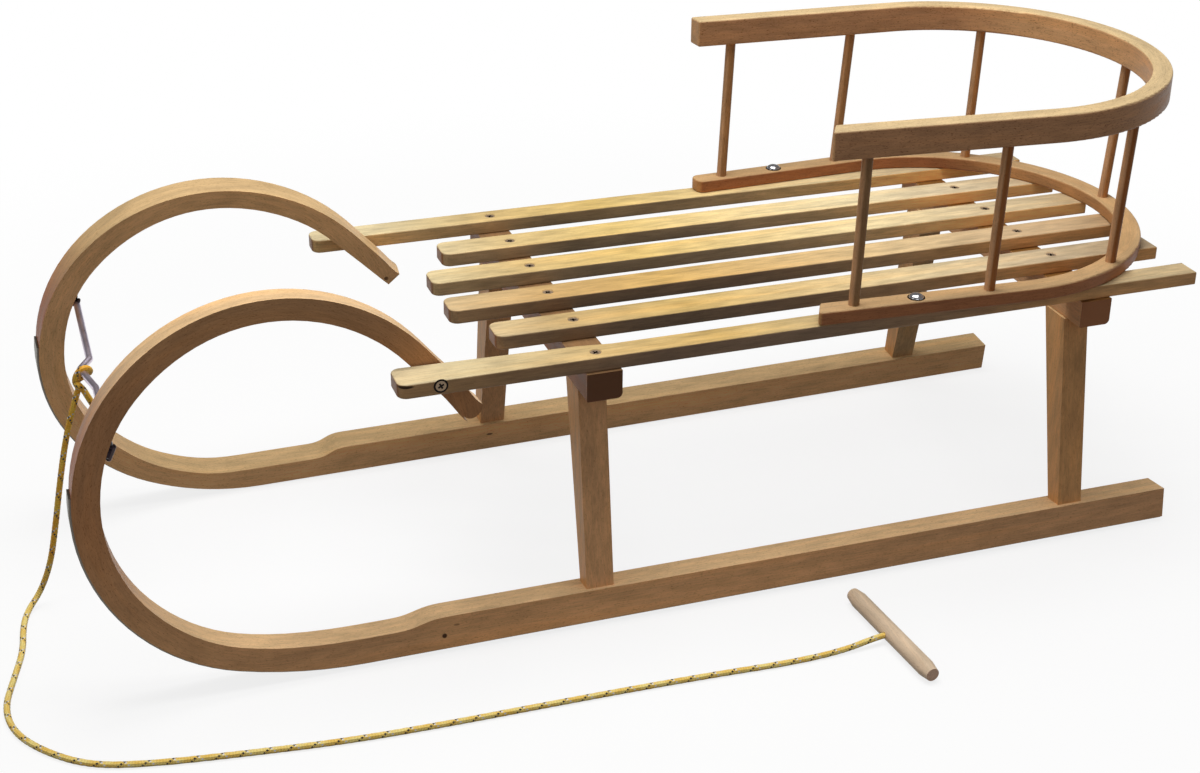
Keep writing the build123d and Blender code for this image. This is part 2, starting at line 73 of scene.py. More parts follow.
# the cord from the knot under the bracket, down to the floor and back into the grip
CORD_ROUTE = [
    (0.5350, -0.0020, 0.2260), (0.5445, -0.0015, 0.2020), (0.5545, -0.0015, 0.1660),
    (0.5630, -0.0020, 0.1260), (0.5710, -0.0030, 0.0840), (0.5795, -0.0050, 0.0440),
    (0.5915, -0.0090, 0.0130), (0.6060, 0.0060, 0.0030), (0.6120, 0.0335, 0.0030),
    (0.6150, 0.0735, 0.0030), (0.6260, 0.1150, 0.0030), (0.6370, 0.1580, 0.0030),
    (0.6320, 0.1980, 0.0030), (0.6090, 0.2345, 0.0030), (0.5755, 0.2650, 0.0030),
    (0.5275, 0.2795, 0.0030), (0.4520, 0.2915, 0.0030), (0.3660, 0.3030, 0.0030),
    (0.2815, 0.3075, 0.0030), (0.1980, 0.3095, 0.0030), (0.1135, 0.3120, 0.0030),
    (0.0300, 0.3160, 0.0030), (-0.0445, 0.3215, 0.0030), (-0.0985, 0.3200, 0.0032),
    (-0.1355, 0.3169, 0.0085), (-0.1515, 0.3159, 0.0085),
]


def smooth_curve(name, route, thickness, fineness):
    """A curve object through a route, as one open smooth spline."""
    curve = bpy.data.curves.new(name, "CURVE")
    curve.dimensions = "3D"
    curve.resolution_u = fineness
    spline = curve.splines.new("NURBS")
    spline.points.add(len(route) - 1)
    for point, place in zip(spline.points, route):
        point.co = (*place, 1)
    spline.order_u = 3
    spline.use_endpoint_u = True
    spline.resolution_u = fineness
    curve.bevel_depth = thickness / 2
    curve.bevel_resolution = 6
    curve.use_fill_caps = thickness > 0
    return show(name, curve)


def mesh_of(curve_piece):
    """The mesh of a curve piece, which it takes the place of."""
    bpy.context.view_layer.update()
    ready = curve_piece.evaluated_get(bpy.context.evaluated_depsgraph_get())
    mesh = bpy.data.meshes.new_from_object(ready)
    bpy.data.objects.remove(curve_piece)
    return mesh


def middle_line(route, fineness):
    """Points read from the route's own spline."""
    line = mesh_of(smooth_curve("line", route, 0, fineness))
    return [v.co.copy() for v in line.vertices]


def carried_frame(line):
    """At each point of a line, the way ahead and a side that turns as little as it can."""
    last = len(line) - 1
    ahead = [(line[min(i + 1, last)] - line[max(i - 1, 0)]).normalized()
             for i in range(len(line))]
    side, sides = ahead[0].orthogonal().normalized(), []
    for direction in ahead:
        side = (side - direction * side.dot(direction)).normalized()
        sides.append(side.copy())
    return ahead, sides


def braided(name, route, fineness, thickness=CORD_DIAMETER):
    """Rope piece with woven lumps, and a map of metres along it and turns round it."""
    line = middle_line(route, fineness)
    mesh = mesh_of(smooth_curve(name, route, thickness, fineness))
    gone = [0.0]
    for a, b in zip(line, line[1:]):
        gone.append(gone[-1] + (b - a).length)
    ahead, sides = carried_frame(line)
    tree = KDTree(len(line))
    for i, point in enumerate(line):
        tree.insert(point, i)
    tree.balance()
    shape = bmesh.new()
    shape.from_mesh(mesh)
    bmesh.ops.remove_doubles(shape, verts=shape.verts, dist=1e-7)
    map_layer = shape.loops.layers.uv.verify()
    places = {v: tree.find(v.co)[1] for v in shape.verts}
    turns = {}
    for v, i in places.items():
        out = v.co - line[i]
        out -= ahead[i] * out.dot(ahead[i])
        if out.length < 1e-6:        # the middle of an end cap
            turns[v] = 0.0
            continue
        across = ahead[i].cross(sides[i])
        turns[v] = math.atan2(out.dot(across), out.dot(sides[i])) / math.tau
        along = gone[i] / BRAID_PITCH
        weave = (math.cos(math.tau * STRANDS * (turns[v] + along))
                 * math.cos(math.tau * STRANDS * (turns[v] - along)))
        v.co += out.normalized() * WEAVE_DEPTH * (weave - 1.0)
    for face in shape.faces:
        first = turns[face.loops[0].vert]
        for loop in face.loops:
            turn = turns[loop.vert]
            turn -= round(turn - first)    # a face never spans the map's seam
            loop[map_layer].uv = (gone[places[loop.vert]], turn)
        face.smooth = True
    shape.to_mesh(mesh)
    shape.free()
    return show(name, mesh), line


cord, cord_line = braided("cord_braided", CORD_ROUTE, CORD_FINENESS)
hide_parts("tow_cord")
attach(cord, "root")


# ------------------------------------------------------------------ shader maths
class Value:
    """A number that changes over a surface; sums with it add Math nodes."""

    def __init__(self, finish, socket):
        self.finish, self.socket = finish, socket

    def maths(self, operation, first, second=0.0):
        return self.finish.node("ShaderNodeMath", {"operation": operation},
                                {0: first, 1: second})

    def __add__(self, other):
        return self.maths("ADD", self, other)

    __radd__ = __add__

    def __sub__(self, other):
        return self.maths("SUBTRACT", self, other)

    def __rsub__(self, other):
        return self.maths("SUBTRACT", other, self)

    def __mul__(self, other):
        return self.maths("MULTIPLY", self, other)

    __rmul__ = __mul__

    def __truediv__(self, other):
        return self.maths("DIVIDE", self, other)

    def __pow__(self, other):
        return self.maths("POWER", self, other)

    def __lt__(self, other):
        return self.maths("LESS_THAN", self, other)

    def __gt__(self, other):
        return self.maths("GREATER_THAN", self, other)

    def __abs__(self):
        return self.maths("ABSOLUTE", self)

    def wrapped(self, period):
        return self.maths("FLOORED_MODULO", self, period)

    def wave(self):
        return self.maths("SINE", self)

    def sign(self):
        return self.maths("SIGN", self)

    def angle_from(self, other):
        return self.maths("ARCTAN2", self, other)

    def larger(self, other):
        return self.maths("MAXIMUM", self, other)


class Finish:
    """One material, made of nodes."""

    def __init__(self, name, **constants):
        self.material = bpy.data.materials.new(name)
        self.material.use_nodes = True
        self.tree = self.material.node_tree
        self.shader = self.tree.nodes["Principled BSDF"]
        for socket, value in constants.items():
            self.shader.inputs[socket.replace("_", " ")].default_value = value
        coordinates = self.tree.nodes.new("ShaderNodeTexCoord")
        self.place = Value(self, coordinates.outputs["Object"])
        self.normal = Value(self, coordinates.outputs["Normal"])
        self.map = Value(self, coordinates.outputs["UV"])

    def node(self, kind, settings=None, sockets=None, output=0):
        """Any node: its settings first, then the values or links of its sockets."""
        node = self.tree.nodes.new(kind)
        for key, value in (settings or {}).items():
            if key == "stops":
                ramp = node.color_ramp
                while len(ramp.elements) < len(value):
                    ramp.elements.new(0.5)
                for element, (at, shade) in zip(ramp.elements, value):
                    element.position = at
                    element.color = (*shade, 1)
            else:
                setattr(node, key, value)
        for key, value in (sockets or {}).items():
            if isinstance(value, Value):
                self.tree.links.new(value.socket, node.inputs[key])
            elif node.inputs[key].type == "VECTOR":
                node.inputs[key].default_value = value[:3]
            else:
                node.inputs[key].default_value = value
        return Value(self, node.outputs[output])

    def vector(self, operation, sockets, output=0):
        return self.node("ShaderNodeVectorMath", {"operation": operation}, sockets, output)

    def parts(self, vector):
        node = self.node("ShaderNodeSeparateXYZ", None, {0: vector}).socket.node
        return [Value(self, node.outputs[i]) for i in range(3)]

    def joined(self, x, y, z):
        return self.node("ShaderNodeCombineXYZ", None, {0: x, 1: y, 2: z})

    def length(self, vector):
        return self.vector("LENGTH", {0: vector}, 1)

    def scaled(self, colour, light):
        """A colour made lighter or darker by a number."""
        return self.vector("SCALE", {0: colour, "Scale": light})

    def tinted(self, colour, factors):
        """A colour with each of its three parts multiplied."""
        return self.vector("MULTIPLY", {0: colour, 1: factors})

    def blend(self, share, first, second):
        return self.node("ShaderNodeMix", {"data_type": "RGBA"},
                         {0: share, 6: first, 7: second}, 2)

    def step(self, value, low, high, out_low=0.0, out_high=1.0):
        """A smooth step between two values, up or down."""
        return self.node("ShaderNodeMapRange", {"interpolation_type": "SMOOTHSTEP"},
                         {0: value, 1: low, 2: high, 3: out_low, 4: out_high})

    def ramp(self, value, low, high, stops):
        """Colours that follow a value between low and high."""
        placed = [((at - low) / (high - low), shade) for at, shade in stops]
        return self.node("ShaderNodeValToRGB", {"stops": placed},
                         {0: (value - low) * (1.0 / (high - low))})

    def noise(self, vector, detail, scale=1.0):
        return self.node("ShaderNodeTexNoise", {"noise_dimensions": "3D"},
                         {"Vector": vector, "Scale": scale, "Detail": detail,
                          "Roughness": 0.5, "Distortion": 0.0})

    def surface(self, colour, roughness, height, depth):
        """Joins what varies to the shader, with the height as a bump."""
        bump = self.node("ShaderNodeBump", None,
                         {"Height": height, "Distance": depth, "Strength": 1.0})
        for socket, value in (("Base Color", colour), ("Roughness", roughness),
                              ("Normal", bump)):
            self.tree.links.new(value.socket, self.shader.inputs[socket])
        return self.material


def tone(red, green, blue):
    """Colour from the usual 0 to 255 scale."""
    def straight(c):
        c /= 255
        return c / 12.92 if c <= 0.04045 else ((c + 0.055) / 1.055) ** 2.4
    return (straight(red), straight(green), straight(blue), 1.0)


# ------------------------------------------------------------------ wood
HORN_MIDDLE = (0.389, 0.183)      # of the horns' curl, x and z
HORN_RADIUS = 0.18
HOOP_MIDDLE = -0.363              # of the hoops' bend, along x
HOOP_RADIUS = 0.19
HALF_BEND = 0.298                 # along the grain, from the bend's middle to an arm


def straight_grain(axis):
    """Grain along one axis: metres along it, across it, and deep."""
    order = {"x": (0, 1, 2), "y": (1, 0, 2), "z": (2, 1, 0)}[axis]

    def coordinates(finish):
        parts = finish.parts(finish.place)
        return [parts[i] for i in order]
    return coordinates


def horn_grain(finish):
    """Grain along the runner and round its horn."""
    x, y, z = finish.parts(finish.place)
    forward, up = x - HORN_MIDDLE[0], z - HORN_MIDDLE[1]
    angle = forward.angle_from(0.0 - up)
    angle = angle + (angle < 0.0) * math.tau
    radius = (forward * forward + up * up) ** 0.5
    on_runner = (forward < 0.0) * (up < 0.0)
    along = on_runner * forward + (1.0 - on_runner) * (angle * HORN_RADIUS)
    across = on_runner * (0.0 - up) + (1.0 - on_runner) * radius
    return along, across, y


def hoop_grain(finish):
    """Grain along a hoop's arms and round its bend."""
    x, y, z = finish.parts(finish.place)
    forward = x - HOOP_MIDDLE
    angle = y.angle_from(0.0 - forward)
    radius = (forward * forward + y * y) ** 0.5
    on_arm = forward > 0.0
    along = (on_arm * (forward + HALF_BEND) * y.sign()
             + (1.0 - on_arm) * angle * HOOP_RADIUS)
    across = on_arm * abs(y) + (1.0 - on_arm) * radius
    return along, across, z


def spots(*marks):
    """Small marks for beech: each a centre, radius, colour, how strong, and a squeeze."""
    def add(finish, colour):
        for centre, radius, shade, share, squeeze in marks:
            away = finish.length(finish.tinted(
                finish.vector("SUBTRACT", {0: finish.place, 1: centre}), squeeze))
            colour = finish.blend(finish.step(away, radius * 0.7, radius * 1.2, share, 0.0),
                                  colour, shade)
        return colour
    return add


PAINTED_LIGHT_REACH = (-0.53, 0.30)        # along x, the reach of the stops of the painted light and shade
RISE_REACH = (0.0, 0.37)          # and up the horns
GRAIN_DEPTH = 0.00012


def beech(name, top, side, grain, seed, streaks, flecks, front=None, end=None, end_axis=0,
          gloss=0.42, top_fade=None, side_fade=None, rise_fade=None, extra=None):
    """Beech with long streaks, fine grain and the short dark flecks of its rays.

    top and side are the colours of what faces up and of the rest, and front
    that of what faces +x; they differ partly as painted light and shade. end is
    the colour across end_axis. The top, side and rise factors are painted light
    and shade: colour factors along x, and up the horns for the rise factors.
    """
    finish = Finish(name, Specular_IOR_Level=0.12, Specular_Tint=(1.0, 0.84, 0.66, 1.0))
    along, across, deep = grain(finish)

    def grain_noise(length, width, detail, shifts=(0.0, 0.0, 0.0)):
        spread = zip((along * length, across * width, deep * width), shifts)
        return finish.noise(finish.joined(*(p + s if s else p for p, s in spread)), detail)

    broad = grain_noise(2.2, 60.0, 3.0, (seed, 0.0, 0.0))
    blotch = grain_noise(14.0, 28.0, 2.0, (seed, 0.0, 0.0))
    mottle = grain_noise(30.0, 130.0, 3.0, (0.0, seed, 0.0))
    fine = grain_noise(45.0, 700.0, 2.0, (0.0, 0.0, seed))
    ray = finish.step(grain_noise(330.0, 1500.0, 1.0, (0.0, 0.0, seed)), 0.60, 0.70)
    normal = finish.parts(finish.normal)
    x_place, _, rise = finish.parts(finish.place)
    # painted light and shade: sides, tops and horns are lightened or darkened along x and up
    # the horns, and tops, sides and fronts take their own tones by which way they face
    if side_fade:
        side = finish.tinted(side, finish.ramp(x_place, *PAINTED_LIGHT_REACH, side_fade))
    if top_fade:
        top = finish.tinted(top, finish.ramp(x_place, *PAINTED_LIGHT_REACH, top_fade))
    if rise_fade:
        side = finish.tinted(side, finish.ramp(rise, *RISE_REACH, rise_fade))
    if front:
        side = finish.blend(finish.step(normal[0], 0.35, 0.8), side, front)
    colour = finish.blend(finish.step(normal[2], 0.25, 0.85), side, top)
    light = 1.0
    for pattern, strength in ((broad, 2.5), (mottle, 2.3), (fine, 2.2), (blotch, 1.4)):
        light = light + (pattern - 0.5) * (strength * streaks)
    colour = finish.scaled(colour, light)
    warmer, paler, darker = (0.99, 0.83, 0.62), (1.03, 1.07, 1.16), (0.45, 0.36, 0.28)
    for share, factors in ((finish.step(broad, 0.48, 0.75) * 0.35, warmer),
                           (finish.step(broad, 0.48, 0.25) * 0.28, paler),
                           (ray * flecks, darker)):
        colour = finish.blend(share, colour, finish.tinted(colour, factors))
    if end:
        colour = finish.blend(finish.step(abs(normal[end_axis]), 0.8, 0.97), colour, end)
    if extra:
        colour = extra(finish, colour)
    roughness = gloss + (mottle - 0.5) * 0.25 + (fine - 0.5) * 0.15
    height = fine * 0.6 + ray * -0.4 + mottle * 0.5
    return finish.surface(colour, roughness, height, GRAIN_DEPTH)


def give(piece, material):
    """Makes a material a piece's only one."""
    piece.data.materials.clear()
    piece.data.materials.append(material)


# painted light and shade on the slats' tops: pale in front, golden in the middle and duller in
# the shade under the back
slat_top_light_and_shade = (
    (-0.53, (0.70, 0.70, 0.78)), (-0.40, (0.88, 0.93, 1.08)), (-0.28, (1.07, 1.15, 1.24)),
    (-0.17, (1.08, 1.09, 1.01)), (-0.02, (0.95, 0.89, 0.60)), (0.10, (0.88, 0.84, 0.71)),
    (0.22, (0.97, 1.07, 1.22)), (0.30, (0.99, 1.11, 1.30)))
outer_slat_top_light_and_shade = (
    (-0.53, (1.05, 1.08, 1.12)), (-0.40, (1.25, 1.30, 1.35)), (-0.28, (1.07, 1.15, 1.24)),
    (-0.12, (0.90, 0.91, 0.82)), (-0.02, (0.95, 0.87, 0.58)), (0.10, (0.93, 0.90, 0.76)),
    (0.22, (1.02, 1.14, 1.24)), (0.30, (1.04, 1.16, 1.32)))
# painted shade on the slats' sides, which are darkest halfway
side_fade = (
    (-0.53, (2.10, 1.76, 1.18)), (-0.38, (2.20, 2.00, 1.45)), (-0.26, (1.38, 1.40, 1.28)),
    (-0.12, (0.78, 0.83, 0.90)), (0.03, (0.62, 0.67, 0.73)), (0.14, (1.05, 1.08, 1.05)),
    (0.30, (1.54, 1.62, 1.46)))
outer_side_fade = (
    (-0.53, (1.92, 1.70, 1.32)), (-0.38, (2.05, 1.76, 1.28)), (-0.26, (1.50, 1.45, 1.36)),
    (-0.12, (0.88, 0.92, 1.02)), (0.03, (0.73, 0.76, 0.86)), (0.14, (0.95, 0.95, 0.93)),
    (0.30, (1.45, 1.38, 1.15)))
# painted light and shade: the near runner is brightest ahead of its middle and its horn is
# darker
runner_light_and_shade = (
    (-0.53, (0.93, 0.93, 0.97)), (-0.25, (1.06, 1.06, 1.06)), (0.10, (1.22, 1.20, 1.15)),
    (0.24, (1.15, 1.14, 1.10)), (0.30, (0.98, 0.98, 0.98)))
horn_light_and_shade = {
    "left": (
        (0.00, (1.0, 1.0, 1.0)), (0.05, (0.92, 0.92, 0.92)), (0.12, (0.72, 0.69, 0.69)),
        (0.18, (0.58, 0.53, 0.52)), (0.28, (0.56, 0.51, 0.49)), (0.37, (0.62, 0.62, 0.61))),
    "right": (
        (0.00, (1.0, 1.0, 1.0)), (0.03, (1.06, 1.05, 1.04)), (0.10, (1.04, 1.03, 1.02)),
        (0.18, (0.93, 0.93, 0.92)), (0.25, (0.88, 0.87, 0.86)), (0.37, (0.94, 0.94, 0.92))),
}
# small dark marks: a thin dark patch at the near slat's front corner, and pins and scratches in
# the runners
DARK = tone(58, 36, 22)
dark_corner_patch = spots(((0.2776, 0.1885, 0.2736), 0.0085, tone(34, 18, 10), 0.95, (1, 1, 5.5)))
horn_marks = {
    "left": spots(((0.2509, 0.2000, 0.0180), 0.0024, DARK, 0.95, (1, 0, 1)),
                  ((0.2390, 0.2000, 0.0272), 0.0030, DARK, 0.45, (1, 0, 2.5))),
    "right": spots(((0.1014, -0.1780, 0.0202), 0.0036, DARK, 0.85, (1, 0, 3)),
                   ((-0.1269, -0.1780, 0.0401), 0.0036, DARK, 0.6, (1, 0, 3)),
                   ((0.2186, -0.1780, 0.2392), 0.0022, DARK, 0.8, (1, 0, 1))),
}
# tones of the beech, from pale to dark
BEECH = {
    "ivory": (231, 206, 158), "cream": (227, 200, 149), "straw": (212, 185, 140),
    "fawn": (215, 181, 132), "peach": (236, 197, 147), "apricot": (248, 197, 142),
    "amber": (224, 172, 124), "honey": (212, 160, 108), "wheat": (201, 165, 120),
    "shell": (224, 200, 171), "rose": (238, 198, 171), "clay": (191, 143, 105),
    "copper": (185, 127, 77), "biscuit": (180, 130, 90), "russet": (170, 112, 75),
    "hazel": (164, 119, 78), "tan": (187, 157, 121), "driftwood": (158, 129, 101),
    "chestnut": (154, 96, 51), "umber": (144, 110, 76), "bronze": (135, 94, 47),
}
# each wooden piece's tone on top and on its sides; these carry painted light and shade, as tops
# and sides differ partly by how light falls on them, and the crossbars, in shade under the
# seat, are given dark tones as painted shade
TONES = {
    "slat_1": ("straw", "driftwood"), "slat_2": ("straw", "driftwood"),
    "slat_3": ("fawn", "driftwood"), "slat_4": ("cream", "tan"),
    "slat_5": ("ivory", "tan"), "slat_6": ("cream", "wheat"),
    "runner_left": ("peach", "amber"), "runner_right": ("fawn", "apricot"),
    "leg_front_left": ("fawn", "amber"), "leg_front_right": ("fawn", "amber"),
    "leg_rear_left": ("fawn", "honey"), "leg_rear_right": ("fawn", "wheat"),
    "crossbar_front": ("umber", "chestnut"), "crossbar_rear": ("bronze", "amber"),
    "back_hoop_lower": ("wheat", "russet"), "back_hoop_upper": ("straw", "clay"),
    "spindle_1": ("biscuit", "umber"), "spindle_2": ("biscuit", "chestnut"),
    "spindle_3": ("biscuit", "chestnut"), "spindle_4": ("biscuit", "copper"),
    "spindle_5": ("biscuit", "copper"), "spindle_6": ("biscuit", "hazel"),
    "spindle_7": ("biscuit", "hazel"), "tow_toggle": ("shell", "rose"),
}


def wooden(name, finish_name, *grain_and_looks, **others):
    """Gives a piece of the frame beech of its own two tones."""
    top, side = (tone(*BEECH[word]) for word in TONES[name])
    give(sled[name], beech(finish_name, top, side, *grain_and_looks, **others))


for i in range(1, 7):
    outer = i == 1
    wooden(f"slat_{i}", f"seat_wood_{i}", straight_grain("x"), 7.3 * i, 0.30, 0.25,
           end=tone(150, 98, 52), gloss=0.36,
           top_fade=outer_slat_top_light_and_shade if outer else slat_top_light_and_shade,
           side_fade=outer_side_fade if outer else side_fade,
           extra=dark_corner_patch if outer else None)
for hand, seed in (("left", 1.7), ("right", 12.9)):
    wooden(f"runner_{hand}", f"horn_wood_{hand}", horn_grain, seed, 0.22, 0.5,
           front=tone(176, 98, 44), side_fade=runner_light_and_shade if hand == "left" else None,
           rise_fade=horn_light_and_shade[hand], extra=horn_marks[hand])
    for end, factor in (("front", 3), ("rear", 5)):
        wooden(f"leg_{end}_{hand}", f"leg_wood_{end}_{hand}", straight_grain("z"),
               seed * factor, 0.24, 0.35, front=tone(232, 178, 120))
# the crossbars' ends are darker as end grain, and the front one's end darker still as painted
# shade under the near slat
for end, seed, end_grain_and_shade in (("front", 4.1, tone(100, 66, 45)), ("rear", 8.6, tone(158, 105, 71))):
    wooden(f"crossbar_{end}", f"crossbar_wood_{end}", straight_grain("y"), seed, 0.22, 0.35,
           end=end_grain_and_shade, end_axis=1)
for level, seed, flecks, front in (("lower", 3.3, 0.5, tone(190, 142, 96)),
                                   ("upper", 6.1, 0.8, tone(214, 168, 122))):
    wooden(f"back_hoop_{level}", f"back_wood_{level}", hoop_grain, seed, 0.24, flecks,
           front=front)
for i in range(1, 8):
    wooden(f"spindle_{i}", f"spindle_wood_{i}", straight_grain("z"), 2.9 * i, 0.26, 0.4,
           front=tone(206, 160, 120))
wooden("tow_toggle", "grip_wood", straight_grain("y"), 5.5, 0.16, 0.3,
       front=tone(246, 220, 190))


# ------------------------------------------------------------------ metal
def steel(name, colour, roughness, metallic=1.0, mark=0.25, extra=None):
    """Plain steel with soft dull patches."""
    finish = Finish(name, Metallic=metallic)
    wide = finish.noise(finish.place, 4.0, 60.0)
    fine = finish.noise(finish.place, 3.0, 900.0)
    colour = finish.scaled(colour, 1.0 + (wide - 0.5) * mark * 2 + (fine - 0.5) * mark)
    if extra:
        colour = extra(finish, colour)
    return finish.surface(colour, roughness + (wide - 0.5) * 0.3 + (fine - 0.5) * 0.1,
                          fine, 0.00003)


def blackened_ends(finish, colour):
    """The bracket's two ends are black where they are screwed to the horns."""
    y = finish.parts(finish.place)[1]
    ends = finish.step(y, 0.134, 0.137) + finish.step(y, -0.1385, -0.1415)
    return finish.blend(ends, colour, tone(40, 32, 36))


strip_steel = steel("strip_steel", tone(112, 108, 100), 0.45)
for hand in ("left", "right"):
    give(sled[f"runner_strip_{hand}"], strip_steel)
# painted reflection: the bracket's steel is made pale to stand in for the white surroundings it
# mirrors
give(sled["tow_bracket"],
     steel("bracket_steel", tone(224, 214, 230), 0.34, extra=blackened_ends))
black_steel = steel("black_steel", tone(58, 50, 52), 0.32)
# pale brown steel of the screws' faces
screw_steel = steel("screw_steel", tone(158, 134, 108), 0.42, 0.4)
# near-black steel: painted shade in the screws' recesses and round the feet of the side screw
# and the dome bolts
painted_shade_steel = steel("painted_shade_steel", tone(30, 26, 25), 0.6)
bright_steel = steel("bright_steel", tone(226, 226, 230), 0.14, mark=0.12)
CORNERS = 64                      # of a fastener's rings
UP, OUT = (0, 0, 1), (0, 1, 0)    # out of the left side


def turned(name, rings, place, direction, metal, turn=0.0, recess_metal=None):
    """A fastener head: rings from its middle outwards and down, closed at both ends.

    Each ring is (radius or a function of the angle, height). recess_metal,
    where it is given, is on the middle and the first band.
    """
    shape = bmesh.new()
    loop = bmesh.ops.create_circle(shape, cap_ends=True, segments=CORNERS, radius=1.0)["verts"]
    edges = list(shape.edges)

    def set_ring(verts, radius, height):
        for v in verts:
            angle = math.atan2(v.co.y, v.co.x)
            r = radius(angle) if callable(radius) else radius
            v.co = (r * math.cos(angle), r * math.sin(angle), height)

    set_ring(loop, *rings[0])
    for number, ring in enumerate(rings[1:]):
        spread = bmesh.ops.extrude_edge_only(shape, edges=edges)["geom"]
        loop = [g for g in spread if isinstance(g, bmesh.types.BMVert)]
        edges = [g for g in spread if isinstance(g, bmesh.types.BMEdge)
                 and all(v in loop for v in g.verts)]
        for face in (g for g in spread if isinstance(g, bmesh.types.BMFace)):
            face.material_index = 0 if recess_metal and number == 0 else 1
        set_ring(loop, *ring)
    bmesh.ops.holes_fill(shape, edges=edges, sides=0)
    bmesh.ops.recalc_face_normals(shape, faces=shape.faces)
    for face in shape.faces:
        face.smooth = len(face.verts) == 4 and not recess_metal
    aim = Vector(direction).to_track_quat("Z", "Y").to_matrix().to_4x4()
    shape.transform(Matrix.Translation(place) @ aim @ Matrix.Rotation(turn, 4, "Z"))
    mesh = bpy.data.meshes.new(name)
    shape.to_mesh(mesh)
    shape.free()
    piece = show(name, mesh)
    mesh.materials.append(recess_metal or metal)
    mesh.materials.append(metal)
    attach(piece, "root")


def flat_screw(name, place, direction, radius, turn):
    """A flat head with a cross-shaped recess, which is painted dark as shade."""
    arm, width = radius * 0.58, radius * 0.17

    def recess(share):
        def outline(angle):
            c, s = abs(math.cos(angle)) + 1e-9, abs(math.sin(angle)) + 1e-9
            return share * max(min(arm / c, width / s), min(width / c, arm / s))
        return outline

    rings = ((recess(0.72), -0.0016), (recess(1.0), -0.0001), (recess(1.05), 0.0),
             (radius * 0.94, 0.0), (radius, -0.0003), (radius * 0.5, -0.0024))
    turned(name, rings, place, direction, screw_steel, turn, painted_shade_steel)


def dome_bolt(name, place, radius, height):
    """A bright domed head on a dark ring of painted shade."""
    angles = [math.radians(a) for a in (8, 22, 38, 54, 70, 84)]
    rings = [(radius * math.sin(a), height * math.cos(a)) for a in angles]
    turned(name, [*rings, (radius, 0.0), (radius * 0.5, -0.0006)], place, UP, bright_steel)
    turned(name + "_seat", ((radius * 0.8, 0.0005), (radius * 1.12, 0.0004),
                            (radius * 1.16, 0.0), (radius * 0.8, -0.0004)),
           place, UP, painted_shade_steel)


def long_head(name, upper, lower, radius):
    """A long rounded black head, between the middles of its two round ends."""
    upper, lower = Vector(upper), Vector(lower)
    length = (upper - lower).length
    quarter = [math.radians(a) for a in (10, 30, 50, 70, 90)]
    rings = [(radius * math.sin(a), radius * math.cos(a)) for a in quarter]
    rings += [(radius * math.sin(a), -radius * math.cos(a) - length)
              for a in reversed(quarter)]
    turned(name, rings, upper, upper - lower, black_steel)


SCREW_TOP = 0.2754                # just under the slats' tops
SCREW_RADIUS = 0.0052
# one row of screws over each crossbar: each slat's middle along y, and the front row along x
SLAT_MIDDLES = (0.1755, 0.1020, 0.0340, -0.0340, -0.1020, -0.17415)
FRONT_ROW = (0.0985, 0.0950, 0.0980, 0.0950, 0.0950, 0.0950)
REAR_ROW = -0.4200
for i, (y, x) in enumerate(zip(SLAT_MIDDLES, FRONT_ROW), 1):
    flat_screw(f"seat_screw_front_{i}", (x, y, SCREW_TOP), UP, SCREW_RADIUS, 0.7 * i)
    flat_screw(f"seat_screw_rear_{i}", (REAR_ROW, y, SCREW_TOP), UP, SCREW_RADIUS,
               0.4 + 1.1 * i)
flat_screw("side_screw", (0.2453, 0.1891, 0.2707), OUT, 0.0050, 0.5)
# a dark rim of painted shade round the side screw's head
turned("side_screw_rim", ((0.0052, 0.0003), (0.0063, 0.0003), (0.0066, 0.0), (0.0052, -0.0004)),
       (0.2453, 0.1886, 0.2707), OUT, painted_shade_steel)
dome_bolt("back_bolt_left", (-0.2205, 0.1846, 0.2898), 0.0074, 0.0042)
dome_bolt("back_bolt_right", (-0.2350, -0.1839, 0.2898), 0.0074, 0.0042)
long_head("bracket_screw_left", (0.5209, 0.1440, 0.2350), (0.5256, 0.1440, 0.2247), 0.0026)
long_head("bracket_screw_right", (0.5191, -0.1400, 0.2516), (0.5221, -0.1400, 0.2429), 0.0019)


# ------------------------------------------------------------------ rope
def rope_finish(name):
    """Yellow braid with short black and white dashes; painted light makes it paler where it
    lies on the floor, and painted shade darkens the hollows of its weave.
    """
    finish = Finish(name, Specular_IOR_Level=0.3, Sheen_Weight=0.15)
    along, turn, _ = finish.parts(finish.map)
    run = along / BRAID_PITCH
    right_hand = (run + turn).wrapped(1.0)
    left_hand = (run - turn).wrapped(1.0)
    weave = (((run + turn) * (STRANDS * math.tau)).wave()
             * ((run - turn) * (STRANDS * math.tau)).wave())
    fibre = finish.noise(finish.joined(along * 2500.0, turn * 24.0, 0.0), 2.0)
    patch = finish.noise(finish.joined(along * 60.0, turn * 3.0, 0.0), 2.0)
    # painted light: the same cord is given paler tones where it lies on the floor than where it
    # hangs
    hanging = finish.step(finish.parts(finish.place)[2], 0.01, 0.06)
    colour = finish.blend(finish.step(patch, 0.35, 0.65),
                          finish.blend(hanging, tone(255, 232, 142), tone(255, 212, 84)),
                          finish.blend(hanging, tone(250, 206, 96), tone(248, 180, 52)))
    # painted light and shade: the weave lightens the strands' crowns and darkens the hollows
    # between them; the fibre noise is the yarn's own
    colour = finish.scaled(colour, 1.0 + weave * 0.14 + (fibre - 0.5) * 0.3)
    over = finish.step(weave, -0.2, 0.15)
    black = (right_hand < 0.15) * over
    white = (left_hand < 0.12) * (1.0 - over)
    colour = finish.blend(white, colour, tone(236, 232, 232))
    colour = finish.blend(black, colour, tone(34, 32, 44))
    return finish.surface(colour, 0.62 + (fibre - 0.5) * 0.3, weave + fibre * 0.3, 0.0002)


